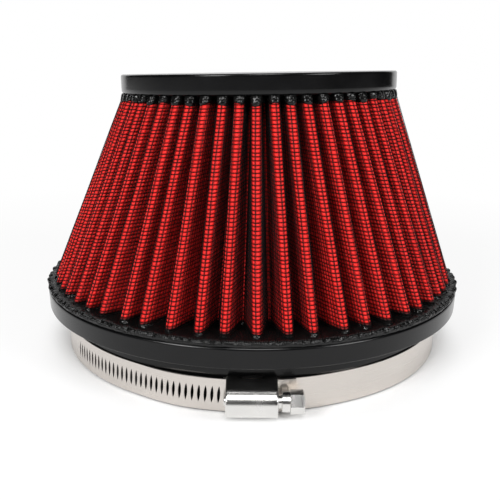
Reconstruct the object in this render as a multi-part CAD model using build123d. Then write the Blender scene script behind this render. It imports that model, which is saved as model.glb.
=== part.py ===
from build123d import *
from math import acos, atan2, cos, degrees, hypot, radians, sin, sqrt
import os

# Millimetres and degrees. Z is the filter's axis and Z = 0 the plane of the inlet's lower rim.
# The clamp's screw is at the front, -Y, and its head points to +X.
# Angles round the axis are counted from the front, growing towards +X.

# Base moulding: a neck that slips over the intake pipe, under a wide ring
inlet_diameter = 152.4
neck_wall = 4.3
neck_height = 19.5
rim_round = 0.8
pipe_stop_width = 4.7
ring_diameter = 177.8
ring_height = 7.8
ring_draft = 0.3
ring_top_round = 1.2
ring_lower_round = 0.4

# Top cap: a soft disc that has set a little off the axis and a little out of level
cap_diameter = 114.3
cap_thickness = 7.7
cap_top_round = 0.8
cap_lower_round = 1.6
cap_shift = 1.9
cap_tilt = 1.4

# Pleat pack: a cotton sheet between two wire screens, folded together and potted at both ends
pleat_count = 58
pleat_depth = 14.0
pack_height = 79.2
tip_inset_at_ring = 1.5
tip_inset_at_cap = 0.3
screen_thickness = 0.28
cotton_thickness = 0.85
layer_gap = 0.15
crease_radius = 0.3
tip_flats = 4
root_flats = 2

# Lie of the folds: their lower ends drift sideways round the ring, and none is quite evenly spaced
ring_fold_start = 1.0
ring_fold_swing = 3.0
ring_fold_unevenness = 0.5
cap_fold_start = -1.4
cap_fold_unevenness = 0.25

# Clamp band: one strip whose slotted tail comes round over its own plain head end
band_width = 12.0
band_thickness = 0.6
band_height_above_rim = 0.8
band_fit = 0.1
strip_gap = 0.1
head_end_at = -7.0
head_ramp_starts = 14.0
head_ramp_ends = 36.0
tail_ramp_starts = -46.0
tail_ramp_ends = -22.0
tail_end_at = 15.0
slot_pitch = 2.32
slot_length = 6.6
slot_width = 1.15
slot_lean = 4.0
slotted_length = 97.0
tail_margin = 3.0

# Clamp housing and the saddle under it
housing_length = 17.8
housing_wall = 0.7
barrel_diameter = 11.0
leg_rise = 0.7
side_clearance = 0.05
ear_length = 3.0
arch_rise = 2.4
housing_end_round = 0.5
saddle_thickness = 0.5
saddle_length = 19.6

# Clamp screw: worm, shaft through the housing's end wall, collar and hexagon head
worm_diameter = 6.8
worm_clearance = 0.15
shaft_diameter = 4.8
pilot_diameter = 3.6
pilot_reach = 0.6
bearing_clearance = 0.05
end_float = 0.1
collar_gap = 1.2
collar_diameter = 7.2
collar_length = 3.0
hex_across_flats = 7.2
hex_length = 4.8
hex_chamfer = 0.5
driver_slot_width = 1.2
driver_slot_depth = 1.6

# Places that follow from the sizes
inlet_radius = inlet_diameter / 2
neck_radius = inlet_radius + neck_wall
ring_radius = ring_diameter / 2
ring_top = neck_height + ring_height
cap_radius = cap_diameter / 2
ring_seat = Location((0, 0, ring_top))
cap_seat = Location((cap_shift, 0, ring_top + pack_height), (0, -cap_tilt, 0))

pack_thickness = 2 * screen_thickness + 2 * layer_gap + cotton_thickness
fold_radius = crease_radius + pack_thickness / 2

saddle_inner = neck_radius + band_fit
saddle_outer = saddle_inner + saddle_thickness
head_inner = saddle_outer + strip_gap
tail_inner = head_inner + band_thickness + strip_gap
tail_outer = tail_inner + band_thickness
band_middle = band_height_above_rim + band_width / 2
screw_radius = tail_outer + worm_clearance + worm_diameter / 2
housing_front = Plane((0, -screw_radius, band_middle), x_dir=(0, -1, 0), z_dir=(-1, 0, 0))
screw_start = Plane((0, -screw_radius, band_middle), x_dir=(0, 1, 0), z_dir=(1, 0, 0))
align_low = (Align.CENTER, Align.CENTER, Align.MIN)
align_high = (Align.CENTER, Align.CENTER, Align.MAX)


def polar(radius, angle):
    """Point at a radius and an angle from the front, in a level plane."""
    return Vector(radius * sin(radians(angle)), -radius * cos(radians(angle)))


def turned(corners):
    """Solid of revolution from its section's corners, each (radius, height, rounding)."""
    points = [(radius, 0, height) for radius, height, _ in corners]
    section = FilletPolyline(*points, radius=[rounding for _, _, rounding in corners], close=True)
    return revolve(make_face(section), Axis.Z)


def base_moulding():
    """Neck, pipe stop and ring in one piece."""
    stop_radius = inlet_radius - pipe_stop_width
    return turned(
        [
            (inlet_radius, 0, 0),
            (neck_radius, 0, rim_round),
            (neck_radius, neck_height, 0),
            (ring_radius - ring_draft, neck_height, ring_lower_round),
            (ring_radius, ring_top, ring_top_round),
            (stop_radius, ring_top, 0),
            (stop_radius, neck_height, 0),
            (inlet_radius, neck_height, 0),
        ]
    )


def cap_disc():
    """The closed end, standing on the tops of the pleats."""
    disc = turned(
        [
            (0, 0, 0),
            (cap_radius, 0, cap_lower_round),
            (cap_radius, cap_thickness, cap_top_round),
            (0, cap_thickness, 0),
        ]
    )
    return cap_seat * disc


def ring_fold_angles():
    """Angle of each outer fold where it stands on the ring."""
    angles = []
    for index in range(pleat_count):
        even = index * 360 / pleat_count
        drift = ring_fold_swing * sin(2 * radians(even))
        uneven = ring_fold_unevenness * sin(2.4 * index)
        angles.append(even + ring_fold_start + drift + uneven)
    return angles


def cap_fold_angles():
    """Angle of each outer fold where it meets the cap."""
    angles = []
    for index in range(pleat_count):
        even = index * 360 / pleat_count
        uneven = cap_fold_unevenness * sin(1.7 * index)
        angles.append(even + cap_fold_start + uneven)
    return angles


def flank_normal(tip, root, side):
    """Unit normal of the straight flank that crosses between a tip's and a root's fold circles."""
    along = (root - tip).normalized()
    across = Vector(-along.Y, along.X) * side
    lean = 2 * fold_radius / (root - tip).length
    return along * lean + across * sqrt(1 - lean**2)


def fold(centre, first, last, turn, radius, flats):
    """Corners of a fold, equally spaced on its circle from one flank's normal to the next."""
    sweep = first.get_signed_angle(last) % (360 * turn)
    return [centre + first.rotate(Axis.Z, sweep * step / flats) * radius for step in range(flats + 1)]


def pleat_outline(tip_radius, angles, offset):
    """Closed zigzag of the pleat pack, offset outwards from its middle surface."""
    half = pack_thickness / 2
    following = angles[1:] + [angles[0] + 360]
    tips = [polar(tip_radius - half - fold_radius, angle) for angle in angles]
    root_radius = tip_radius - pleat_depth + half + fold_radius
    roots = [polar(root_radius, (here + there) / 2) for here, there in zip(angles, following)]
    corners = []
    for index, tip in enumerate(tips):
        root = roots[index]
        left = flank_normal(tip, roots[index - 1], 1)
        right = flank_normal(tip, root, -1)
        onward = flank_normal(tips[(index + 1) % pleat_count], root, 1)
        corners += fold(tip, left, right, 1, fold_radius + offset, tip_flats)
        corners += fold(root, -right, -onward, -1, fold_radius - offset, root_flats)
    return Wire.make_polygon(corners)


def pleated_sheet(outer_offset, inner_offset):
    """One layer of the pack, from the ring's top face to the cap's underside."""
    ring_tips = ring_radius - tip_inset_at_ring
    cap_tips = cap_radius - tip_inset_at_cap
    ring_ends = []
    cap_ends = []
    walls = []
    for offset in (outer_offset, inner_offset):
        ring_end = pleat_outline(ring_tips, ring_fold_angles(), offset).moved(ring_seat)
        cap_end = pleat_outline(cap_tips, cap_fold_angles(), offset).moved(cap_seat)
        walls += Shell.make_loft([ring_end, cap_end], ruled=True).faces()
        ring_ends.append(ring_end)
        cap_ends.append(cap_end)
    ends = [Face(outer, [inner]) for outer, inner in (ring_ends, cap_ends)]
    return Solid(Shell(walls + ends))


def neck_angle(distance):
    """Angle from the front of a point that lies this far along the neck."""
    return degrees(distance / neck_radius)


def ramp_radius(start_radius, end_radius, share):
    """Smooth rise of the strip from one radius to another."""
    return start_radius + (end_radius - start_radius) * share**2 * (3 - 2 * share)


def strip_arc(radius, start, end):
    """Stretch of the strip's edge at one radius."""
    return ThreePointArc(polar(radius, start), polar(radius, (start + end) / 2), polar(radius, end))


def strip_ramp(start_radius, end_radius, start, end):
    """Stretch of the strip's edge that steps from one radius to another."""
    shares = [step / 6 for step in range(7)]
    points = [polar(ramp_radius(start_radius, end_radius, s), start + (end - start) * s) for s in shares]
    return Spline(*points, tangents=[polar(1, start + 90), polar(1, end + 90)])


def strip_edge(offset):
    """The strip seen from above, from its head end right round to its tail end."""
    head = head_inner + offset
    neck = saddle_inner + offset
    tail = tail_inner + offset
    tail_ramp = [360 + neck_angle(tail_ramp_starts), 360 + neck_angle(tail_ramp_ends)]
    head_ramp = [neck_angle(head_ramp_starts), neck_angle(head_ramp_ends)]
    return [
        strip_arc(head, neck_angle(head_end_at), head_ramp[0]),
        strip_ramp(head, neck, *head_ramp),
        strip_arc(neck, head_ramp[1], tail_ramp[0]),
        strip_ramp(neck, tail, *tail_ramp),
        strip_arc(tail, tail_ramp[1], 360 + neck_angle(tail_end_at)),
    ]


def band_slot(distance):
    """Cutter for one lens-shaped slot of the band, this far along the neck from the front."""
    share = (distance - tail_ramp_starts) / (tail_ramp_ends - tail_ramp_starts)
    inner = ramp_radius(saddle_inner, tail_inner, min(max(share, 0), 1))
    angle = neck_angle(distance)
    floor = polar(inner - strip_gap / 2, angle) + Vector(0, 0, band_middle)
    face = Plane(floor, x_dir=polar(1, angle + 90), z_dir=polar(1, angle))
    ends = [(0, -slot_length / 2), (0, slot_length / 2)]
    sides = [ThreePointArc(ends[0], (side * slot_width / 2, 0), ends[1]) for side in (-1, 1)]
    return extrude(face * (Rot(0, 0, -slot_lean) * make_face(sides)), amount=2 * band_thickness)


def slotted_band():
    """The whole strip, with its tail's row of slots."""
    inner = strip_edge(0)
    outer = strip_edge(band_thickness)
    ends = [Line(inner[0] @ 0, outer[0] @ 0), Line(inner[-1] @ 1, outer[-1] @ 1)]
    strip = extrude(make_face(inner + outer + ends), amount=band_width)
    slot_count = int(slotted_length / slot_pitch)
    slots = [band_slot(tail_end_at - tail_margin - index * slot_pitch) for index in range(slot_count)]
    return Pos(0, 0, band_height_above_rim) * strip - slots


def saddle_plate():
    """Curved plate under the band's head end."""
    reach = neck_angle(saddle_length / 2)
    edges = [strip_arc(radius, -reach, reach) for radius in (saddle_inner, saddle_outer)]
    ends = [Line(edges[0] @ end, edges[1] @ end) for end in (0, 1)]
    plate = extrude(make_face(edges + ends), amount=band_width)
    return Pos(0, 0, band_height_above_rim) * plate


def housing_section(inset):
    """Barrel over two legs, in the plane across the screw: the filled outer outline, or one inset from it."""
    barrel = barrel_diameter / 2 - inset
    leg = band_width / 2 + side_clearance + housing_wall - inset
    foot = saddle_inner - screw_radius
    shoulder = tail_outer + leg_rise - screw_radius
    touch = atan2(leg, shoulder) - acos(barrel / hypot(leg, shoulder))
    across = barrel * cos(touch)
    up = barrel * sin(touch)
    legs = Polyline((across, -up), (shoulder, -leg), (foot, -leg), (foot, leg), (shoulder, leg), (across, up))
    return housing_front * make_face([legs, ThreePointArc((across, up), (barrel, 0), (across, -up))])


def screw_housing():
    """Pressed shell over the screw, with arched legs and two end walls that carry the screw."""
    block = extrude(housing_section(0), housing_length / 2, both=True)
    foot_plane = -saddle_inner
    rims = [edge for edge in block.edges().filter_by(Axis.X, reverse=True) if edge.center().Y < foot_plane - leg_rise]
    block = fillet(rims, housing_end_round)
    cavity = extrude(housing_section(housing_wall), housing_length / 2 - housing_wall, both=True)
    passage_height = tail_outer + leg_rise / 2 - saddle_inner
    passage_width = band_width + 2 * side_clearance
    passage = Pos(0, foot_plane, band_middle) * Box(2 * housing_length, 2 * passage_height, passage_width)
    arch_end = housing_length / 2 - ear_length
    arch_curve = ThreePointArc((-arch_end, foot_plane), (0, foot_plane - arch_rise), (arch_end, foot_plane))
    arch = make_face([arch_curve, Line((-arch_end, foot_plane), (arch_end, foot_plane))])
    arch = extrude(Pos(0, 0, band_middle) * arch, barrel_diameter, both=True)
    shaft_hole = screw_start * Cylinder(shaft_diameter / 2 + bearing_clearance, housing_length, align=align_low)
    pilot_hole = screw_start * Cylinder(pilot_diameter / 2 + bearing_clearance, housing_length, align=align_high)
    return block - cavity - passage - arch - shaft_hole - pilot_hole


def worm_screw():
    """Screw blank turned about its axis: pilot, worm, shaft, collar and slotted hexagon."""
    inside = housing_length / 2 - housing_wall - end_float
    collar_start = housing_length / 2 + collar_gap
    hex_start = collar_start + collar_length
    head_end = hex_start + hex_length
    pilot_end = housing_length / 2 + pilot_reach
    worm = Pos(0, 0, -inside) * Cylinder(worm_diameter / 2, 2 * inside, align=align_low)
    pilot = Pos(0, 0, -pilot_end) * Cylinder(pilot_diameter / 2, pilot_end, align=align_low)
    shaft = Cylinder(shaft_diameter / 2, hex_start, align=align_low)
    collar = Pos(0, 0, collar_start) * Cylinder(collar_diameter / 2, collar_length, align=align_low)
    hexagon = RegularPolygon(hex_across_flats / 2, 6, major_radius=False)
    head = Pos(0, 0, hex_start) * extrude(hexagon, hex_length)
    head = chamfer(head.faces().sort_by(Axis.Z)[-1].edges(), hex_chamfer)
    slot = Pos(0, 0, head_end) * Box(driver_slot_width, 2 * hex_across_flats, 2 * driver_slot_depth)
    return screw_start * (worm + pilot + shaft + collar + head - slot)


outer_face = pack_thickness / 2
cotton_face = cotton_thickness / 2
pieces = {
    "base_flange": base_moulding(),
    "top_cap": cap_disc(),
    "outer_screen": pleated_sheet(outer_face, outer_face - screen_thickness),
    "cotton_media": pleated_sheet(cotton_face, -cotton_face),
    "inner_screen": pleated_sheet(screen_thickness - outer_face, -outer_face),
    "clamp_band": slotted_band(),
    "clamp_saddle": saddle_plate(),
    "clamp_housing": screw_housing(),
    "clamp_screw": worm_screw(),
}

os.makedirs("parts", exist_ok=True)
for node, solid in pieces.items():
    export_step(solid, f"parts/{node}.step")
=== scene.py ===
import bmesh
import bpy
import numpy as np
from mathutils import Matrix, Vector


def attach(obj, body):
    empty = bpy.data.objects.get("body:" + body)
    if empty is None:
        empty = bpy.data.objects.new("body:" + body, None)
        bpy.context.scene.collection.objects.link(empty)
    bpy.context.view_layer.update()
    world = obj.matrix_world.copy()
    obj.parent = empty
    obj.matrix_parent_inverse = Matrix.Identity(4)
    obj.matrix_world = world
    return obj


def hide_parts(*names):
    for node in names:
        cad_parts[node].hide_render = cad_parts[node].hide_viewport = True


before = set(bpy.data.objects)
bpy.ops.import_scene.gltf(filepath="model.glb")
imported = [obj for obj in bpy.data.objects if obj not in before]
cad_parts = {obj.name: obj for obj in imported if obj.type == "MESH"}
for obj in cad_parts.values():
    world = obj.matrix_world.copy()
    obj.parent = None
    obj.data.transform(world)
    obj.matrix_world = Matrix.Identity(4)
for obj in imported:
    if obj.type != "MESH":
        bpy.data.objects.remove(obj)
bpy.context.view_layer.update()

scene = bpy.context.scene
print("stage: frame loaded")

# Metres in the CAD frame: Z is the filter's axis, the clamp's screw is at the front, -Y, its head to +X


def gridFaces(rows, columns, wrapRows=False, wrapColumns=False):
    # four corners of every cell of a grid whose points are numbered row by row
    row = np.arange(rows - (not wrapRows))[:, None]
    column = np.arange(columns - (not wrapColumns))[None, :]
    nextRow = (row + 1) % rows
    nextColumn = (column + 1) % columns
    corners = (row * columns + column, row * columns + nextColumn)
    corners += (nextRow * columns + nextColumn, nextRow * columns + column)
    return np.stack(corners, axis=-1).reshape(-1, 4)


def outward(points, faces):
    # the signed volume of a closed surface is positive when its faces look outwards
    a, b, c, d = (points[faces[:, corner]] for corner in range(4))
    volume = (a * np.cross(b, c)).sum() + (a * np.cross(c, d)).sum()
    return faces if volume > 0 else faces[:, ::-1]


def addPiece(
    name, points, faces, material, body, node, uv=None, uvPeriod=None, sharp=None, weld=False
):
    faces = outward(points, faces)
    mesh = bpy.data.meshes.new(name)
    mesh.vertices.add(len(points))
    mesh.vertices.foreach_set("co", np.ascontiguousarray(points, dtype=np.float32).ravel())
    mesh.loops.add(faces.size)
    mesh.loops.foreach_set("vertex_index", np.ascontiguousarray(faces, dtype=np.int32).ravel())
    mesh.polygons.add(len(faces))
    mesh.polygons.foreach_set("loop_start", np.arange(0, faces.size, 4, dtype=np.int32))
    mesh.polygons.foreach_set("use_smooth", np.ones(len(faces), dtype=bool))
    if uv is not None:
        cornerUv = uv[faces]
        if uvPeriod:
            # a face that crosses the seam takes the count on, past the last column
            farSide = cornerUv[..., 0].max(axis=1, keepdims=True) - cornerUv[..., 0] > uvPeriod / 2
            cornerUv[..., 0] += uvPeriod * farSide
        layer = mesh.uv_layers.new(name="weave")
        layer.data.foreach_set("uv", np.ascontiguousarray(cornerUv, dtype=np.float32).ravel())
    mesh.update(calc_edges=True)
    if weld:
        joined = bmesh.new()
        joined.from_mesh(mesh)
        bmesh.ops.remove_doubles(joined, verts=joined.verts, dist=1e-7)
        joined.to_mesh(mesh)
        joined.free()
    if sharp:
        mesh.set_sharp_from_angle(angle=np.radians(sharp))
    mesh.materials.append(material)
    piece = bpy.data.objects.new(name, mesh)
    scene.collection.objects.link(piece)
    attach(piece, body)
    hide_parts(node)
    return piece


def putNode(tree, kind, inputs=(), **settings):
    # inputs pairs a socket's name or number with a constant or with another node's output
    node = tree.nodes.new(kind)
    for key, value in settings.items():
        setattr(node, key, value)
    for key, value in inputs:
        if isinstance(value, bpy.types.NodeSocket):
            tree.links.new(value, node.inputs[key])
        else:
            node.inputs[key].default_value = value
    return node


def putMath(tree, operation, *values):
    return putNode(tree, "ShaderNodeMath", list(enumerate(values)), operation=operation).outputs[0]


def spread(tree, value, low, high, toLow, toHigh):
    # carries a value from one range to another, and holds it at the ends
    inputs = [("Value", value), ("From Min", low), ("From Max", high), ("To Min", toLow), ("To Max", toHigh)]
    return putNode(tree, "ShaderNodeMapRange", inputs, clamp=True).outputs["Result"]


def blendColours(tree, factor, first, second):
    node = putNode(tree, "ShaderNodeMix", data_type="RGBA")
    tree.links.new(factor, node.inputs["Factor"])
    for socket, colour in zip([s for s in node.inputs if s.type == "RGBA"], (first, second)):
        if isinstance(colour, bpy.types.NodeSocket):
            tree.links.new(colour, socket)
        else:
            socket.default_value = (*colour, 1)
    return [s for s in node.outputs if s.type == "RGBA"][0]


def startGroup(name, inputs, outputs):
    tree = bpy.data.node_groups.new(name, "ShaderNodeTree")
    for label in inputs:
        tree.interface.new_socket(label, in_out="INPUT", socket_type="NodeSocketFloat")
    for label in outputs:
        tree.interface.new_socket(label, in_out="OUTPUT", socket_type="NodeSocketFloat")
    return tree, tree.nodes.new("NodeGroupInput"), tree.nodes.new("NodeGroupOutput")


def useGroup(tree, group, **inputs):
    node = tree.nodes.new("ShaderNodeGroup")
    node.node_tree = group
    for key, value in inputs.items():
        node.inputs[key].default_value = value
    return node


def startMaterial(name):
    material = bpy.data.materials.new(name)
    material.use_nodes = True
    return material, material.node_tree, material.node_tree.nodes["Principled BSDF"]


shaderSockets = {"base": "Base Color", "specular": "Specular IOR Level"}


def setShader(tree, shader, **inputs):
    for key, value in inputs.items():
        socket = shader.inputs[shaderSockets.get(key, key.capitalize())]
        if isinstance(value, bpy.types.NodeSocket):
            tree.links.new(value, socket)
        else:
            socket.default_value = value


# Weave: the cells between the wires, one to a unit of the piece's own UV
# pillow = |sin(pi u) sin(pi v)|, 1 in the middle of a cell and 0 at its wires
weaveTree, _, weaveOut = startGroup("weaveCells", [], ["Pillow", "Tint", "Along"])
weaveUv = putNode(weaveTree, "ShaderNodeUVMap", uv_map="weave").outputs["UV"]
weaveAxes = putNode(weaveTree, "ShaderNodeSeparateXYZ", [(0, weaveUv)]).outputs
weaveTurns = [putMath(weaveTree, "MULTIPLY", axis, np.pi) for axis in weaveAxes[:2]]
weaveWaves = [putMath(weaveTree, "SINE", turn) for turn in weaveTurns]
weavePillow = putMath(weaveTree, "ABSOLUTE", putMath(weaveTree, "MULTIPLY", *weaveWaves))
weaveCell = putNode(weaveTree, "ShaderNodeVectorMath", [(0, weaveUv)], operation="FLOOR").outputs[0]
weaveDraw = putNode(weaveTree, "ShaderNodeTexWhiteNoise", [("Vector", weaveCell)], noise_dimensions="2D")
weaveTree.links.new(weavePillow, weaveOut.inputs["Pillow"])
weaveTree.links.new(weaveDraw.outputs["Value"], weaveOut.inputs["Tint"])
weaveTree.links.new(weaveAxes[1], weaveOut.inputs["Along"])

# Unevenness: one broad and one fine noise in the object's own coordinates
unevenTree, unevenIn, unevenOut = startGroup("unevenness", ["Broad scale", "Fine scale"], ["Broad", "Fine"])
unevenPlace = putNode(unevenTree, "ShaderNodeTexCoord").outputs["Object"]
for label, detail in (("Broad", 3.0), ("Fine", 2.0)):
    inputs = [("Vector", unevenPlace), ("Scale", unevenIn.outputs[label + " scale"]), ("Detail", detail)]
    unevenNoise = putNode(unevenTree, "ShaderNodeTexNoise", inputs).outputs["Fac"]
    unevenTree.links.new(unevenNoise, unevenOut.inputs[label])

# Brushing: streaks that run round the strip, long in the level plane and short in height
brushTree, _, brushOut = startGroup("brushedStreaks", [], ["Streak"])
brushPlace = putNode(brushTree, "ShaderNodeTexCoord").outputs["Object"]
brushScale = (60.0, 60.0, 5000.0)
brushInputs = [(0, brushPlace), (1, brushScale)]
brushStretch = putNode(brushTree, "ShaderNodeVectorMath", brushInputs, operation="MULTIPLY").outputs[0]
brushInputs = [("Vector", brushStretch), ("Scale", 1.0), ("Detail", 4.0)]
brushNoise = putNode(brushTree, "ShaderNodeTexNoise", brushInputs).outputs["Fac"]
brushTree.links.new(brushNoise, brushOut.inputs["Streak"])


def bumpFrom(tree, shader, height, strength, distance):
    inputs = [("Strength", strength), ("Distance", distance), ("Height", height)]
    bump = putNode(tree, "ShaderNodeBump", inputs)
    tree.links.new(bump.outputs["Normal"], shader.inputs["Normal"])


# Moulded urethane: satin black, a little mottled, with a very fine grain
mouldedUrethane, tree, shader = startMaterial("mouldedUrethane")
uneven = useGroup(tree, unevenTree, **{"Broad scale": 70.0, "Fine scale": 1800.0}).outputs
mottle = blendColours(tree, uneven["Broad"], (0.0018, 0.0018, 0.002), (0.0042, 0.0042, 0.0045))
sheen = spread(tree, uneven["Broad"], 0.3, 0.7, 0.15, 0.22)
setShader(tree, shader, base=mottle, roughness=sheen, specular=0.28)
bumpFrom(tree, shader, uneven["Fine"], 0.06, 0.00004)

# Wicked urethane: the same black, wet-looking where it has soaked into the screen
wickedUrethane, tree, shader = startMaterial("wickedUrethane")
uneven = useGroup(tree, unevenTree, **{"Broad scale": 420.0, "Fine scale": 1500.0}).outputs
weave = useGroup(tree, weaveTree).outputs
lump = putMath(tree, "ADD", putMath(tree, "MULTIPLY", weave["Pillow"], 0.5), uneven["Broad"])
wet = blendColours(tree, uneven["Broad"], (0.002, 0.002, 0.002), (0.006, 0.006, 0.006))
sheen = spread(tree, uneven["Fine"], 0.3, 0.7, 0.1, 0.22)
setShader(tree, shader, base=wet, roughness=sheen, specular=0.3)
bumpFrom(tree, shader, lump, 0.6, 0.0005)

# Coated wire: thin black epoxy
coatedWire, tree, shader = startMaterial("coatedWire")
uneven = useGroup(tree, unevenTree, **{"Broad scale": 160.0, "Fine scale": 2400.0}).outputs
coat = blendColours(tree, uneven["Broad"], (0.003, 0.0025, 0.0025), (0.008, 0.006, 0.006))
sheen = spread(tree, uneven["Fine"], 0.3, 0.7, 0.35, 0.5)
setShader(tree, shader, base=coat, roughness=sheen, specular=0.12)

# Oiled cotton: red, swelling a little out of each cell of the screen, with painted shade darkening each cell
# towards its wires and a painted highlight in its middle, black where the urethane has soaked in
oiledCotton, tree, shader = startMaterial("oiledCotton")
uneven = useGroup(tree, unevenTree, **{"Broad scale": 55.0, "Fine scale": 2600.0}).outputs
weave = useGroup(tree, weaveTree).outputs
# painted shade and highlight: the red darkens towards each cell's wires and brightens in its middle, plus a
# random tone for each cell
pillowShadeAndTint = putMath(tree, "ADD", weave["Pillow"], putMath(tree, "MULTIPLY", weave["Tint"], 0.2))
pillowShadeShare = spread(tree, pillowShadeAndTint, 0.1, 1.1, 0.0, 1.0)
redWithPaintedShade = blendColours(tree, pillowShadeShare, (0.34, 0.004, 0.004), (0.9, 0.026, 0.021))
cloth = blendColours(tree, spread(tree, uneven["Broad"], 0.35, 0.7, 0.0, 0.25), redWithPaintedShade, (0.5, 0.006, 0.006))
soaked = putMath(tree, "ADD", weave["Along"], putMath(tree, "MULTIPLY", uneven["Broad"], 1.5))
cloth = blendColours(tree, spread(tree, soaked, 3.2, 4.0, 1.0, 0.0), cloth, (0.004, 0.003, 0.003))
sheen = spread(tree, uneven["Fine"], 0.3, 0.7, 0.5, 0.7)
setShader(tree, shader, base=cloth, roughness=sheen, specular=0.25)
nap = putMath(tree, "ADD", weave["Pillow"], putMath(tree, "MULTIPLY", uneven["Fine"], 0.25))
bumpFrom(tree, shader, nap, 0.7, 0.0005)

# Satin steel strip, brushed along its length
satinSteel, tree, shader = startMaterial("satinSteel")
uneven = useGroup(tree, unevenTree, **{"Broad scale": 40.0}).outputs
streak = useGroup(tree, brushTree).outputs["Streak"]
steel = blendColours(tree, uneven["Broad"], (0.63, 0.585, 0.545), (0.7, 0.66, 0.62))
sheen = spread(tree, streak, 0.3, 0.7, 0.26, 0.4)
setShader(tree, shader, base=steel, metallic=1.0, roughness=sheen)
bumpFrom(tree, shader, streak, 0.05, 0.0001)

# Polished steel of the housing and the screw
polishedSteel, tree, shader = startMaterial("polishedSteel")
uneven = useGroup(tree, unevenTree, **{"Broad scale": 130.0}).outputs
steel = blendColours(tree, uneven["Broad"], (0.7, 0.69, 0.67), (0.8, 0.79, 0.77))
sheen = spread(tree, uneven["Broad"], 0.3, 0.7, 0.2, 0.28)
setShader(tree, shader, base=steel, metallic=1.0, roughness=sheen)
print("stage: materials made")


def roundedProfile(corners, closed):
    # each corner is (radius, height, rounding), and a rounding is an arc between the points where it touches
    # each straight stretch has a point close to either end so that its shading stays flat
    place = np.array([corner[:2] for corner in corners])
    before = np.roll(place, 1, axis=0)
    after = np.roll(place, -1, axis=0)
    profile = []
    for index, (_, _, rounding) in enumerate(corners):
        atEnd = not closed and index in (0, len(corners) - 1)
        if atEnd:
            profile.append(place[index][None])
            continue
        toBefore = (before[index] - place[index]) / np.linalg.norm(before[index] - place[index])
        toAfter = (after[index] - place[index]) / np.linalg.norm(after[index] - place[index])
        halfAngle = np.arccos(np.clip(toBefore @ toAfter, -1, 1)) / 2
        reach = rounding / np.tan(halfAngle)
        middle = (toBefore + toAfter) / np.linalg.norm(toBefore + toAfter)
        centre = place[index] + middle * rounding / np.sin(halfAngle)
        first = place[index] + toBefore * reach - centre
        last = place[index] + toAfter * reach - centre
        sweep = np.pi - 2 * halfAngle
        share = np.linspace(0, 1, 7)[:, None]
        arc = centre + (np.sin((1 - share) * sweep) * first + np.sin(share * sweep) * last) / np.sin(sweep)
        support = rounding * 0.35
        profile.append(np.vstack([arc[:1] + toBefore * support, arc, arc[-1:] + toAfter * support]))
    return np.vstack(profile)


def turnedPoints(profile, segments):
    angle = np.linspace(0, 2 * np.pi, segments, endpoint=False)
    radius = profile[:, 0][:, None]
    height = np.repeat(profile[:, 1][:, None], segments, axis=1)
    return np.stack([radius * np.sin(angle), -radius * np.cos(angle), height], axis=-1).reshape(-1, 3)


# Base moulding: neck, pipe stop and ring, turned about the axis
base = dict(inlet=0.0762, neck=0.0805, neckTop=0.0195, ring=0.0889, ringTop=0.0273, draft=0.0003, stop=0.0715)
base.update(edge=0.00015, rimRound=0.0008, lowerRound=0.0004, topRound=0.0012, segments=288)
baseCorners = [
    (base["inlet"], 0, base["edge"]),
    (base["neck"], 0, base["rimRound"]),
    (base["neck"], base["neckTop"], base["edge"]),
    (base["ring"] - base["draft"], base["neckTop"], base["lowerRound"]),
    (base["ring"], base["ringTop"], base["topRound"]),
    (base["stop"], base["ringTop"], base["edge"]),
    (base["stop"], base["neckTop"], base["edge"]),
    (base["inlet"], base["neckTop"], base["edge"]),
]
baseProfile = roundedProfile(baseCorners, True)
baseFaces = gridFaces(len(baseProfile), base["segments"], True, True)
basePoints = turnedPoints(baseProfile, base["segments"])
addPiece("base_moulding", basePoints, baseFaces, mouldedUrethane, "filter", "base_flange")

# Pleat pack: tip and root folds are arcs about their centres and the flanks are straight
pack = dict(count=58, depth=0.014, thickness=0.00171, crease=0.0003, ringTips=0.0874, capTips=0.05685)
pack.update(height=0.0792, capShift=0.0019, capTilt=np.radians(1.4), columns=1137, rows=60)
pack.update(cottonFace=0.000425, screenMiddle=0.000655)
capHeight = base["ringTop"] + pack["height"]


def onCap(points):
    # the cap is tilted about Y, its +X side up, and set off along X
    x, y, z = points[..., 0], points[..., 1], points[..., 2]
    tiltCos, tiltSin = np.cos(pack["capTilt"]), np.sin(pack["capTilt"])
    across = x * tiltCos - z * tiltSin + pack["capShift"]
    return np.stack([across, y, x * tiltSin + z * tiltCos + capHeight], axis=-1)


def polarPlace(radius, angle):
    return np.stack([radius * np.sin(angle), -radius * np.cos(angle)], axis=-1)


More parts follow.
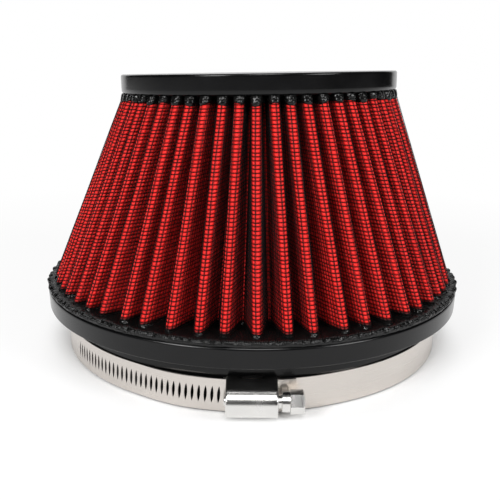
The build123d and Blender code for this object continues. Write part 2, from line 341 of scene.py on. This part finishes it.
def pleatSection(tipRadius, angles, tipSteps, rootSteps):
    # middle line of the zigzag, its outward normal, and the share of its length run so far
    half = pack["thickness"] / 2
    fold = pack["crease"] + half
    following = np.append(angles[1:], angles[0] + 2 * np.pi)
    tip = polarPlace(tipRadius - half - fold, angles)
    root = polarPlace(tipRadius - pack["depth"] + half + fold, (angles + following) / 2)

    def flankHeading(tips, roots, side):
        # the flank crosses between two fold circles, so its normal leans by twice the fold over their distance
        along = roots - tips
        length = np.linalg.norm(along, axis=-1, keepdims=True)
        along = along / length
        across = side * np.stack([-along[:, 1], along[:, 0]], axis=-1)
        lean = 2 * fold / length
        normal = along * lean + across * np.sqrt(1 - lean**2)
        return np.arctan2(normal[:, 1], normal[:, 0])

    left = flankHeading(tip, np.roll(root, 1, axis=0), 1)
    right = flankHeading(tip, root, -1)
    onward = np.roll(left, -1)
    tipTurn = (right - left) % (2 * np.pi)
    rootTurn = (right - onward) % (2 * np.pi)
    tipHeading = left[:, None] + tipTurn[:, None] * np.linspace(0, 1, tipSteps)
    rootHeading = right[:, None] - rootTurn[:, None] * np.linspace(0, 1, rootSteps)
    tipNormal = np.stack([np.cos(tipHeading), np.sin(tipHeading)], axis=-1)
    rootNormal = np.stack([np.cos(rootHeading), np.sin(rootHeading)], axis=-1)
    middle = np.concatenate([tip[:, None] + fold * tipNormal, root[:, None] - fold * rootNormal], axis=1)
    normal = np.concatenate([tipNormal, rootNormal], axis=1)
    down = np.linalg.norm(middle[:, tipSteps] - middle[:, tipSteps - 1], axis=-1)
    up = np.linalg.norm(np.roll(middle[:, 0], -1, axis=0) - middle[:, -1], axis=-1)
    tipRun = fold * tipTurn[:, None] * np.linspace(0, 1, tipSteps)
    rootRun = (fold * tipTurn + down)[:, None] + fold * rootTurn[:, None] * np.linspace(0, 1, rootSteps)
    pleatRun = fold * tipTurn + down + fold * rootTurn + up
    start = np.cumsum(pleatRun) - pleatRun
    run = np.concatenate([tipRun, rootRun], axis=1) + start[:, None]
    return middle.reshape(-1, 2), normal.reshape(-1, 2), run.ravel() / pleatRun.sum(), pleatRun.sum()


# the folds at the ring and at the cap: their lower ends drift round the ring, and none is quite even
foldIndex = np.arange(pack["count"])
evenAngle = foldIndex * 360 / pack["count"]
ringDrift = 3 * np.sin(2 * np.radians(evenAngle))
ringFolds = np.radians(evenAngle + 1.0 + ringDrift + 0.5 * np.sin(2.4 * foldIndex))
capFolds = np.radians(evenAngle - 1.4 + 0.25 * np.sin(1.7 * foldIndex))


def packSection(tipSteps, rootSteps):
    ring = pleatSection(pack["ringTips"], ringFolds, tipSteps, rootSteps)
    cap = pleatSection(pack["capTips"], capFolds, tipSteps, rootSteps)
    column = pack["columns"] * (ring[2] + cap[2]) / 2
    return dict(ring=ring[:2], cap=cap[:2], column=column, length=(ring[3] + cap[3]) / 2)


def packPoints(section, share, offset):
    # straight lines from the ring's plane to the cap's plane, offset along the section's normals
    ringFlat = section["ring"][0] + offset * section["ring"][1]
    capFlat = section["cap"][0] + offset * section["cap"][1]
    lower = np.concatenate([ringFlat, np.full_like(ringFlat[..., :1], base["ringTop"])], axis=-1)
    upper = onCap(np.concatenate([capFlat, np.zeros_like(capFlat[..., :1])], axis=-1))
    return lower + (upper - lower) * share


def packNormals(section, share):
    level = section["ring"][1] * (1 - share) + section["cap"][1] * share
    level = level / np.linalg.norm(level, axis=-1, keepdims=True)
    return np.concatenate([level, np.zeros_like(level[..., :1])], axis=-1)


def rulings(section):
    along = packPoints(section, 1.0, 0.0) - packPoints(section, 0.0, 0.0)
    return along / np.linalg.norm(along, axis=-1, keepdims=True)


def sectionAt(columns):
    # the pleat section at these columns, read off a finely drawn one
    fine = packSection(33, 17)
    count = np.append(fine["column"], pack["columns"])
    read = {}
    for end in ("ring", "cap"):
        parts = []
        for part in fine[end]:
            closed = np.vstack([part, part[:1]])
            parts.append(np.stack([np.interp(columns, count, closed[:, axis]) for axis in (0, 1)], axis=-1))
        parts[1] = parts[1] / np.linalg.norm(parts[1], axis=-1, keepdims=True)
        read[end] = parts
    return read


# Cotton: one closed sheet, outside up and inside down again
cotton = dict(tipSteps=8, rootSteps=5, levels=16)
section = packSection(cotton["tipSteps"], cotton["rootSteps"])
levels = np.linspace(0, 1, cotton["levels"])[:, None, None]
cottonOutside = packPoints(section, levels, pack["cottonFace"])
cottonInside = packPoints(section, levels[::-1], -pack["cottonFace"])
cottonPoints = np.concatenate([cottonOutside, cottonInside]).reshape(-1, 3)
cottonShare = np.concatenate([levels, levels[::-1]])[:, :, 0]
cottonColumn = np.broadcast_to(section["column"], (2 * cotton["levels"], len(section["column"])))
cottonRow = np.broadcast_to(cottonShare * pack["rows"], cottonColumn.shape)
cottonUv = np.stack([cottonColumn, cottonRow], axis=-1).reshape(-1, 2)
cottonFaces = gridFaces(2 * cotton["levels"], len(section["column"]), True, True)
cottonSheet = addPiece(
    "cotton_pleats", cottonPoints, cottonFaces, oiledCotton, "filter", "cotton_media",
    cottonUv, pack["columns"],
)
print("stage: cotton folded")


def wirePoints(centre, sideA, sideB, radius, sides):
    # a wire of a few flats about each line of centres
    angle = np.linspace(0, 2 * np.pi, sides, endpoint=False)[:, None]
    spoke = np.cos(angle) * sideA[:, :, None] + np.sin(angle) * sideB[:, :, None]
    return centre[:, :, None] + radius * spoke


def wireFaces(runs, steps, sides, closed):
    one = gridFaces(steps, sides, closed, True)
    if not closed:
        ends = np.array([[0, 1, 2, 3], [3, 2, 1, 0]]) + np.array([[0], [(steps - 1) * sides]])
        one = np.vstack([one, ends[:, ::-1]])
    return (one[None] + (np.arange(runs) * steps * sides)[:, None, None]).reshape(-1, 4)


# how far the wires stray from an even weave, in cells: a slow wave and a quick one
weavePlay = dict(rowSlow=0.09, rowQuick=0.06, columnSlow=0.08, columnQuick=0.05)


def weftWires(wire, sideways):
    # rows that go round the pack, each rising and falling a little
    section = packSection(wire["tipSteps"], wire["rootSteps"])
    row = np.arange(1, pack["rows"])[:, None]
    slow = weavePlay["rowSlow"] * np.sin(0.11 * section["column"] + 2.3 * row)
    quick = weavePlay["rowQuick"] * np.sin(0.43 * section["column"] - 1.1 * row)
    share = ((row + (slow + quick)) / pack["rows"])[:, :, None]
    centre = packPoints(section, share, sideways * (pack["screenMiddle"] - wire["under"]))
    sideA = packNormals(section, share)
    sideB = np.broadcast_to(rulings(section), centre.shape)
    points = wirePoints(centre, sideA, sideB, wire["radius"], 3)
    return points.reshape(-1, 3), wireFaces(len(row), centre.shape[1], 3, True)


def warpWires(wire, sideways):
    # columns that run from the ring to the cap, each straying a little sideways
    column = np.arange(pack["columns"])[:, None]
    level = np.linspace(0, 1, wire["levels"])[None]
    slow = weavePlay["columnSlow"] * np.sin(2.9 * column + 5 * level)
    quick = weavePlay["columnQuick"] * np.sin(1.3 * column + 13 * level)
    section = sectionAt((column + (slow + quick)) % pack["columns"])
    share = level[:, :, None]
    centre = packPoints(section, share, sideways * (pack["screenMiddle"] + wire["under"]))
    sideA = packNormals(section, share)
    sideB = np.stack([-sideA[..., 1], sideA[..., 0], sideA[..., 2]], axis=-1)
    points = wirePoints(centre, sideA, sideB, wire["radius"], 4)
    return points.reshape(-1, 3), wireFaces(len(column), wire["levels"], 4, False)


# Screens: coated wires on both faces of the cotton
screen = dict(radius=0.00016, under=0.00003, tipSteps=6, rootSteps=3, levels=11)
screenColumns = dict(screen, radius=0.00012)
for points, faces, name in (
    (*weftWires(screen, 1), "outer_screen_rows"),
    (*warpWires(screenColumns, 1), "outer_screen_columns"),
):
    addPiece(name, points, faces, coatedWire, "filter", "outer_screen")
backing = dict(radius=0.00015, under=0.00003, tipSteps=3, rootSteps=3, levels=2)
for points, faces, name in (
    (*weftWires(backing, -1), "inner_screen_rows"),
    (*warpWires(backing, -1), "inner_screen_columns"),
):
    addPiece(name, points, faces, coatedWire, "filter", "inner_screen")
print("stage: screens woven")


def pottingSleeve(potting, atCap):
    # urethane that has climbed the folds: it bulges from the end of the pack and thins to nothing at its edge
    # bulge = height of a quarter circle, more on the tips than on the flanks
    section = packSection(potting["tipSteps"], potting["rootSteps"])
    column = section["column"]
    ringNormal = section["ring"][1]
    radial = section["ring"][0] / np.linalg.norm(section["ring"][0], axis=-1, keepdims=True)
    facing = np.clip((ringNormal * radial).sum(axis=-1), 0, 1)
    wave = np.sin(0.83 * column) + 0.7 * np.sin(1.37 * column + 1) + 0.5 * np.sin(0.29 * column + 2)
    climb = potting["climb"] * (1 + 0.14 * wave)
    lumps = 1 + 0.12 * np.sin(1.9 * column) + 0.1 * np.sin(0.7 * column)
    bulge = potting["bulge"] * (0.25 + 0.75 * facing) * lumps
    rise = np.linspace(0, 1, potting["steps"])[:, None]
    outside = pack["thickness"] / 2 + bulge - pack["cottonFace"]
    offset = pack["cottonFace"] + outside * np.sqrt(1 - rise**2)
    share = (climb * rise - potting["sink"]) / pack["height"]
    innerOffset = np.zeros((2, len(column)))
    innerShare = np.stack([share[-1], share[0]])
    share = np.concatenate([share, innerShare])[:, :, None]
    offset = np.concatenate([offset, innerOffset])[:, :, None]
    points = packPoints(section, 1 - share if atCap else share, offset)
    along = (1 - share if atCap else share)[..., 0] * pack["rows"]
    uv = np.stack([np.broadcast_to(column, along.shape), along], axis=-1)
    return points.reshape(-1, 3), gridFaces(len(share), len(column), True, True), uv.reshape(-1, 2)


# Potting: the black knobs at both ends of the pleats
ringPotting = dict(climb=0.0031, bulge=0.0003, sink=0.0002, steps=9, tipSteps=10, rootSteps=5)
points, faces, uv = pottingSleeve(ringPotting, False)
addPiece(
    "ring_potting", points, faces, wickedUrethane, "filter", "base_flange", uv, pack["columns"]
)
capPotting = dict(climb=0.003, bulge=0.0004, sink=0.0002, steps=9, tipSteps=10, rootSteps=5)
points, faces, uv = pottingSleeve(capPotting, True)
addPiece("cap_potting", points, faces, wickedUrethane, "filter", "top_cap", uv, pack["columns"])

# Potting bed: urethane that fills the valleys on the ring and swells round the foot of every fold
# its edge draws back between two folds by half of (1 - cos of the turn from fold to fold)
pottingBed = dict(steps=18, hollow=0.0007, lump=0.00022, cellsPerMetre=700)
bedProfile = np.array(
    [
        (0.0885, -0.0002),
        (0.089, 0.0002),
        (0.0892, 0.0008),
        (0.089, 0.0014),
        (0.0883, 0.0019),
        (0.0874, 0.0021),
        (0.0855, 0.0022),
        (0.08, 0.0024),
        (0.0735, 0.0025),
        (0.0735, -0.0002),
    ]
)
bedShare = np.arange(pack["count"] * pottingBed["steps"]) / pottingBed["steps"]
bedFolds = np.append(ringFolds, ringFolds[0] + 2 * np.pi)
bedAngle = np.interp(bedShare, np.arange(pack["count"] + 1), bedFolds)
bedSwell = 0.5 + 0.5 * np.cos(2 * np.pi * bedShare)
bedWave = np.sin(16.3 * bedShare) + 0.8 * np.sin(27.1 * bedShare + 1) + 0.6 * np.sin(2.1 * bedShare)
bedFree = np.array([0, 0.4, 1, 1, 1, 0.6, 0.3, 0.2, 0, 0])[:, None]
bedHollow = pottingBed["hollow"] * (1 - bedSwell) - 0.5 * pottingBed["lump"] * bedWave
bedRadius = bedProfile[:, :1] - bedFree * bedHollow
bedHeight = bedProfile[:, 1:] + bedFree * pottingBed["lump"] * (bedWave + 1.5 * bedSwell)
bedLevel = base["ringTop"] + bedHeight
bedPoints = np.stack([bedRadius * np.sin(bedAngle), -bedRadius * np.cos(bedAngle), bedLevel], axis=-1)
bedFaces = gridFaces(len(bedProfile), len(bedShare), True, True)
bedColumn = bedShare * pack["columns"] / pack["count"]
bedRow = bedHeight * pottingBed["cellsPerMetre"]
bedUv = np.stack(np.broadcast_arrays(bedColumn, bedRow), axis=-1).reshape(-1, 2)
addPiece(
    "ring_potting_bed", bedPoints.reshape(-1, 3), bedFaces, wickedUrethane, "filter", "base_flange",
    bedUv, pack["columns"],
)

# Top cap: a turned disc on the tilted plane of the pack's upper end
topCap = dict(radius=0.05715, thickness=0.0077, topRound=0.0008, lowerRound=0.0016, segments=256)
capCorners = [
    (0, 0, 0),
    (topCap["radius"], 0, topCap["lowerRound"]),
    (topCap["radius"], topCap["thickness"], topCap["topRound"]),
    (0, topCap["thickness"], 0),
]
capProfile = roundedProfile(capCorners, False)
capPoints = onCap(turnedPoints(capProfile, topCap["segments"]))
capFaces = gridFaces(len(capProfile), topCap["segments"], False, True)
addPiece("top_cap_disc", capPoints, capFaces, mouldedUrethane, "filter", "top_cap", weld=True)
print("stage: urethane ends made")

# Band and saddle: the CAD strip itself, in brushed steel
for node in ("clamp_band", "clamp_saddle"):
    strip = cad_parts[node]
    strip.data.materials.clear()
    strip.data.materials.append(satinSteel)

# Housing: a pressed sheet bent over the screw, and an end wall at either side
# across the screw, "out" is away from the filter's axis and "side" is along Z, both from the screw's axis
axisPlace = np.array([0.0, -0.08605, 0.0068])
housing = dict(half=0.0089, wall=0.0007, barrel=0.0055, leg=0.00675, foot=-0.00545, shoulder=-0.00285)
housing.update(archHalf=0.0059, archRise=0.0024, endRound=0.0006, passage=-0.0032, arcSteps=33, rowSteps=41)
housing.update(headHole=0.00245, tipHole=0.00185, wallInset=0.00003)


def aboutScrew(x, out, side):
    x, out, side = np.broadcast_arrays(x, out, side)
    return np.stack([x, axisPlace[1] - out, axisPlace[2] + side], axis=-1)


def housingOutline(inset, foot):
    # foot, leg, the slope that touches the barrel, the barrel's arc, and the same down the other side
    inset, foot = (np.asarray(value, dtype=float).reshape(-1, 1) for value in (inset, foot))
    barrel = housing["barrel"] - inset
    leg = housing["leg"] - inset
    shoulder = housing["shoulder"]
    touch = np.arctan2(leg, shoulder) - np.arccos(barrel / np.hypot(leg, shoulder))
    down = np.linspace(0, 1, 4)[None]
    legOut = foot + (shoulder - foot) * down
    slope = np.array([[0.03, 0.5, 0.97]])
    slopeOut = shoulder + (barrel * np.cos(touch) - shoulder) * slope
    slopeSide = leg + (barrel * np.sin(touch) - leg) * slope
    turn = touch * np.linspace(-1, 1, housing["arcSteps"])[None]
    legSide = np.broadcast_to(leg, legOut.shape)
    out = [legOut, slopeOut, barrel * np.cos(turn), slopeOut[:, ::-1], legOut[:, ::-1]]
    side = [-legSide, -slopeSide, barrel * np.sin(turn), slopeSide[:, ::-1], legSide]
    return np.concatenate(out, axis=1), np.concatenate(side, axis=1)


archRadius = (housing["archHalf"] ** 2 + housing["archRise"] ** 2) / (2 * housing["archRise"])
endTurn = np.linspace(0, np.pi / 2, 7)[1:]
endX = housing["half"] - housing["endRound"] * (1 - np.sin(endTurn))
middleX = np.linspace(-1, 1, housing["rowSteps"]) * (housing["half"] - housing["endRound"])
rowX = np.concatenate([-endX[::-1], middleX, endX])
endInset = housing["endRound"] * (1 - np.cos(endTurn))
rowInset = np.concatenate([endInset[::-1], np.zeros(len(middleX)), endInset])
arch = np.sqrt(np.maximum(archRadius**2 - rowX**2, 0)) - (archRadius - housing["archRise"])
rowFoot = housing["foot"] + np.maximum(arch, 0)
outerOut, outerSide = housingOutline(rowInset, rowFoot)
innerOut, innerSide = housingOutline(np.full(len(rowX), housing["wall"]), rowFoot)
shellOut = np.concatenate([outerOut, innerOut[:, ::-1]], axis=1)
shellSide = np.concatenate([outerSide, innerSide[:, ::-1]], axis=1)
shellPoints = aboutScrew(rowX[:, None], shellOut, shellSide).reshape(-1, 3)
around = shellOut.shape[1]
pair = np.arange(around // 2 - 1)
rim = np.stack([pair + 1, pair, around - 1 - pair, around - 2 - pair], axis=-1)
farRim = rim[:, ::-1] + (len(rowX) - 1) * around
shellFaces = np.vstack([gridFaces(len(rowX), around, False, True), rim, farRim])
addPiece(
    "housing_shell", shellPoints, shellFaces, polishedSteel, "filter", "clamp_housing", sharp=38
)
for name, direction, hole in (
    ("housing_wall_head", 1, housing["headHole"]),
    ("housing_wall_tip", -1, housing["tipHole"]),
):
    wallOut, wallSide = (part[0] for part in housingOutline(housing["wall"], housing["passage"]))
    floorSide = np.linspace(wallSide[-1], wallSide[0], 14)[1:-1]
    wallOut = np.concatenate([wallOut, np.full(len(floorSide), housing["passage"])])
    wallSide = np.concatenate([wallSide, floorSide])
    heading = np.arctan2(wallSide, wallOut)
    holeOut, holeSide = hole * np.cos(heading), hole * np.sin(heading)
    wallDepth = np.repeat([housing["wall"], housing["wallInset"]], 2)
    wallX = direction * (housing["half"] - wallDepth)
    loopOut = np.stack([holeOut, wallOut, wallOut, holeOut])
    loopSide = np.stack([holeSide, wallSide, wallSide, holeSide])
    wallPoints = aboutScrew(wallX[:, None], loopOut, loopSide).reshape(-1, 3)
    wallFaces = gridFaces(4, len(wallOut), True, True)
    addPiece(name, wallPoints, wallFaces, polishedSteel, "filter", "clamp_housing", sharp=38)
print("stage: clamp housing made")

# Screw: pilot, worm, shaft and collar turned about the screw's axis
# worm radius = core + depth times a trapezoid wave of (x / pitch - turn)
screw = dict(pilotEnd=-0.0095, pilot=0.0018, wormHalf=0.0081, core=0.00275, crest=0.0034, pitch=0.00232)
screw.update(shaft=0.0024, collarStart=0.0101, collar=0.0036, headStart=0.0131, edge=0.0002, segments=64)
screw.update(runOut=0.0008, wormSteps=141)
wormX = np.linspace(-screw["wormHalf"], screw["wormHalf"], screw["wormSteps"])
lineX = [screw["pilotEnd"], screw["pilotEnd"], screw["pilotEnd"] + screw["edge"], -screw["wormHalf"]]
lineRadius = [0, screw["pilot"] - screw["edge"], screw["pilot"], screw["pilot"]]
endLineX = [screw["wormHalf"], screw["collarStart"], screw["collarStart"], screw["collarStart"] + screw["edge"]]
endLineX += [screw["headStart"] - screw["edge"], screw["headStart"], screw["headStart"]]
endLineRadius = [screw["shaft"], screw["shaft"], screw["collar"] - screw["edge"], screw["collar"]]
endLineRadius += [screw["collar"], screw["collar"] - screw["edge"], 0]
shankX = np.concatenate([lineX, wormX, endLineX])[:, None]
turn = np.linspace(0, 2 * np.pi, screw["segments"], endpoint=False)[None]
wave = np.abs(2 * ((wormX[:, None] / screw["pitch"] - turn / (2 * np.pi)) % 1) - 1)
runOut = np.clip((screw["wormHalf"] - np.abs(wormX[:, None])) / screw["runOut"], 0, 1)
thread = np.clip((wave - 0.25) / 0.5, 0, 1)
wormRadius = screw["core"] + (screw["crest"] - screw["core"]) * runOut * thread
shankRadius = np.concatenate(
    [np.repeat(np.array(lineRadius)[:, None], screw["segments"], axis=1), wormRadius]
    + [np.repeat(np.array(endLineRadius)[:, None], screw["segments"], axis=1)]
)
shankPoints = aboutScrew(shankX, shankRadius * np.cos(turn), shankRadius * np.sin(turn)).reshape(-1, 3)
shankFaces = gridFaces(len(shankX), screw["segments"], False, True)
addPiece(
    "screw_shank", shankPoints, shankFaces, polishedSteel, "screw", "clamp_screw",
    sharp=30, weld=True,
)

# Hexagon head, sliced across its corners: each slice is a loop of six points, shorter inside the driver slot
head = dict(flat=0.0036, length=0.0048, chamfer=0.0005, slotHalf=0.0006, slotDepth=0.0016)
headEnd = screw["headStart"] + head["length"]
cornerReach = head["flat"] / np.cos(np.pi / 6)
faceReach = (head["flat"] - head["chamfer"]) / np.cos(np.pi / 6)
midReach = (cornerReach + faceReach) / 4 + cornerReach / 4
halfSlices = np.array([cornerReach, faceReach, midReach, cornerReach / 2, head["slotHalf"]])
slices = np.concatenate([-halfSlices, [-head["slotHalf"], head["slotHalf"]], halfSlices[::-1]])
inSlot = np.zeros(len(slices), dtype=bool)
inSlot[len(halfSlices):len(halfSlices) + 2] = True
rise = np.clip((cornerReach - np.abs(slices)) * np.tan(np.pi / 3), 0, head["flat"])
faceRise = np.clip((faceReach - np.abs(slices)) * np.tan(np.pi / 3), 0, head["flat"] - head["chamfer"])
bevelDepth = np.abs(slices) * np.cos(np.pi / 6) - (head["flat"] - head["chamfer"])
bevelX = np.minimum(headEnd, headEnd - bevelDepth)
sideX = np.where(inSlot, headEnd - head["slotDepth"], headEnd - head["chamfer"])
faceX = np.where(inSlot, headEnd - head["slotDepth"], bevelX)
faceRise = np.where(inSlot, rise, faceRise)
startX = np.full(len(slices), screw["headStart"])
headX = np.stack([startX, sideX, faceX, faceX, sideX, startX], axis=-1)
headSide = np.stack([-rise, -rise, -faceRise, faceRise, rise, rise], axis=-1)
headPoints = aboutScrew(headX, slices[:, None], headSide).reshape(-1, 3)
headFaces = gridFaces(len(slices), 6, False, True)
addPiece(
    "screw_head", headPoints, headFaces, polishedSteel, "screw", "clamp_screw",
    sharp=20, weld=True,
)
print("stage: clamp screw made")



def seenDirectly(tree):
    # 1 for a ray from the camera, off a polished surface or through a clear one
    path = putNode(tree, "ShaderNodeLightPath").outputs
    indirect = putMath(tree, "MAXIMUM", path["Is Glossy Ray"], path["Is Transmission Ray"])
    return putMath(tree, "MAXIMUM", path["Is Camera Ray"], indirect)


# Floor: pale, white to the camera far from the object, with the shadow kept near it
floorSettings = dict(reach=4.0, contact=0.0826, near=0.094, far=0.4)
floorMesh = bpy.data.meshes.new("studio_floor")
corner = floorSettings["reach"]
floorCorners = [(-corner, -corner, 0), (corner, -corner, 0), (corner, corner, 0), (-corner, corner, 0)]
floorMesh.from_pydata(floorCorners, [], [(0, 1, 2, 3)])
floor = bpy.data.objects.new("studio_floor", floorMesh)
scene.collection.objects.link(floor)
floorMaterial, tree, shader = startMaterial("studioFloor")
setShader(tree, shader, base=(0.92, 0.92, 0.92, 1), roughness=0.9, specular=0.0)
place = putNode(tree, "ShaderNodeTexCoord").outputs["Object"]
distance = putNode(tree, "ShaderNodeVectorMath", [(0, place)], operation="LENGTH").outputs["Value"]
nearFade = spread(tree, distance, floorSettings["contact"], floorSettings["near"], 0.0, 0.6)
farFade = spread(tree, distance, floorSettings["near"], floorSettings["far"], 0.0, 0.4)
whiteShare = putMath(tree, "MULTIPLY", seenDirectly(tree), putMath(tree, "ADD", nearFade, farFade))
white = putNode(tree, "ShaderNodeEmission", [("Color", (1, 1, 1, 1)), ("Strength", 1.0)]).outputs[0]
mixed = putNode(tree, "ShaderNodeMixShader", [(0, whiteShare), (1, shader.outputs[0]), (2, white)])
tree.links.new(mixed.outputs[0], tree.nodes["Material Output"].inputs["Surface"])
floorMesh.materials.append(floorMaterial)

# World: white to the camera and in reflections, softer as a light
world = bpy.data.worlds.new("studioWorld")
world.use_nodes = True
scene.world = world
tree = world.node_tree
worldStrength = spread(tree, seenDirectly(tree), 0.0, 1.0, 0.35, 1.0)
tree.links.new(worldStrength, tree.nodes["Background"].inputs["Strength"])
tree.nodes["Background"].inputs["Color"].default_value = (1, 1, 1, 1)


lampTarget = (0, 0, 0.06)


def addLamp(name, place, size, power):
    lamp = bpy.data.lights.new(name, "AREA")
    lamp.shape = "DISK"
    lamp.size = size
    lamp.energy = power
    holder = bpy.data.objects.new(name, lamp)
    scene.collection.objects.link(holder)
    away = Vector(np.array(place) - np.array(lampTarget))
    holder.matrix_world = Matrix.Translation(place) @ away.to_track_quat("Z", "Y").to_matrix().to_4x4()


addLamp("key_lamp", (-0.65, -0.85, 0.6), size=0.45, power=7.5)
addLamp("fill_lamp", (0.8, -0.65, 0.5), size=0.45, power=5.0)
addLamp("front_lamp", (0.05, -0.8, 0.95), size=0.5, power=5.5)
addLamp("top_lamp", (-0.1, 0.15, 1.0), size=0.7, power=2.0)

# A dark flag that curves round the front and the sides, which only reflections see
flagSettings = dict(radius=1.8, reach=np.radians(138), top=np.radians(86), steps=33, levels=9)
flagAngle = np.linspace(-1, 1, flagSettings["steps"])[None] * flagSettings["reach"]
flagRise = np.linspace(0.01, 1, flagSettings["levels"])[:, None] * flagSettings["top"]
flagLevel = polarPlace(flagSettings["radius"] * np.cos(flagRise), flagAngle)
flagHeight = np.broadcast_to(flagSettings["radius"] * np.sin(flagRise), flagLevel.shape[:2])
flagPoints = np.concatenate([flagLevel, flagHeight[..., None]], axis=-1).reshape(-1, 3)
flagMesh = bpy.data.meshes.new("studio_flag")
flagMesh.from_pydata(flagPoints.tolist(), [], gridFaces(flagSettings["levels"], flagSettings["steps"]).tolist())
flag = bpy.data.objects.new("studio_flag", flagMesh)
scene.collection.objects.link(flag)
flagMaterial, tree, shader = startMaterial("studioFlag")
setShader(tree, shader, base=(0.01, 0.01, 0.01, 1), roughness=1.0, specular=0.0)
flagMesh.materials.append(flagMaterial)
flag.visible_camera = False
flag.visible_diffuse = False
flag.visible_shadow = False
flag.visible_transmission = False

# Camera: level with the cap's top, tilted down on the front and rolled a little
cameraSettings = dict(place=(-0.0011, -0.2923, 0.11545), pitch=np.radians(74.92), roll=0.0101, focal=48.3)
cameraSettings.update(sensor=36.0, near=0.01, far=20.0)
lens = bpy.data.cameras.new("photo_camera")
lens.sensor_width = cameraSettings["sensor"]
lens.lens = cameraSettings["focal"]
lens.clip_start = cameraSettings["near"]
lens.clip_end = cameraSettings["far"]
camera = bpy.data.objects.new("photo_camera", lens)
scene.collection.objects.link(camera)
tilt = Matrix.Rotation(cameraSettings["pitch"], 4, "X") @ Matrix.Rotation(cameraSettings["roll"], 4, "Z")
camera.matrix_world = Matrix.Translation(cameraSettings["place"]) @ tilt
scene.camera = camera
scene.view_settings.view_transform = "Standard"
print("stage: light and camera set")

bpy.context.view_layer.update()
